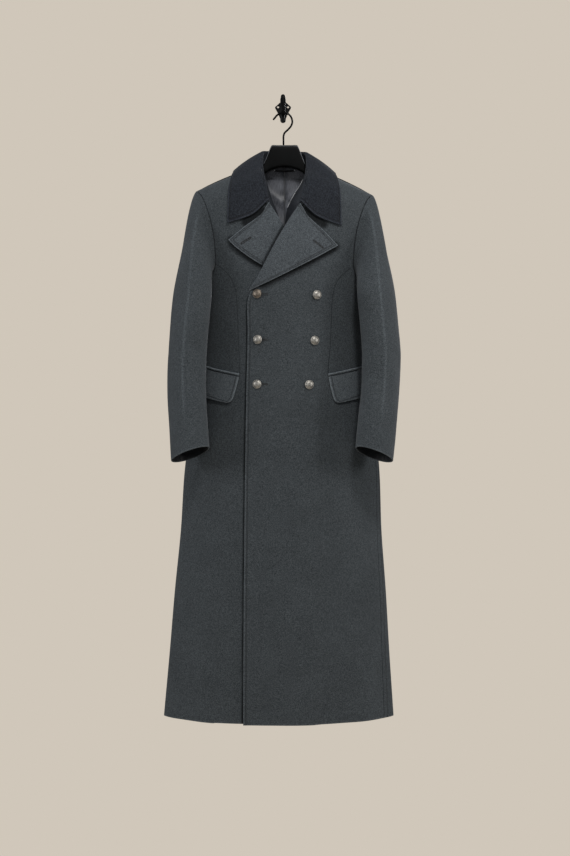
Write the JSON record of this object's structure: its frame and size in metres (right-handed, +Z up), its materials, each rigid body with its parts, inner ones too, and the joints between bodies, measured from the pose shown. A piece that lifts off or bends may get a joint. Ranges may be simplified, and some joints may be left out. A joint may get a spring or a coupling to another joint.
{
  "type": "military greatcoat on a hanger and wall hook",
  "caption": "Long double-breasted wool greatcoat with a darker fall collar, wide lapels, flap pockets and domed metal buttons, hung on a black hanger from a small iron wall hook.",
  "frame": {"origin": "middle of the wall hook's flat back plate, on the wall", "axes": "+Z up along the hanging coat, +Y into the wall, +X the wearer's left (the viewer's right)"},
  "size_m": [0.5546, 0.2052, 1.4768],
  "materials": {
    "wool": "milled wool, lightly napped",
    "collar_wool": "dark brushed wool",
    "satin": "satin lining",
    "button": "dull aged metal",
    "hanger": "satin black",
    "iron": "black paint"
  },
  "bodies": {
    "root": {"front_left": "wool", "front_right": "wool", "side_left": "wool", "side_right": "wool", "back_left": "wool", "back_right": "wool", "sleeve_top_left": "wool", "sleeve_under_left": "wool", "sleeve_top_right": "wool", "sleeve_under_right": "wool", "lapel_left": "wool", "lapel_right": "wool", "pocket_flap_left": "wool", "pocket_flap_right": "wool", "pocket_welt_left": "wool", "pocket_welt_right": "wool", "collar": "collar_wool", "button_1_right": "button", "button_2_right": "button", "button_3_right": "button", "button_1_left": "button", "button_2_left": "button", "button_3_left": "button", "back_lining": "satin", "neck_facing_left": "satin", "neck_facing_right": "satin", "hanging_loop": "satin", "hanger_body": "hanger", "hanger_wire": "iron", "hook_plate": "iron", "hook_arm": "iron"}
  },
  "joints": []
}
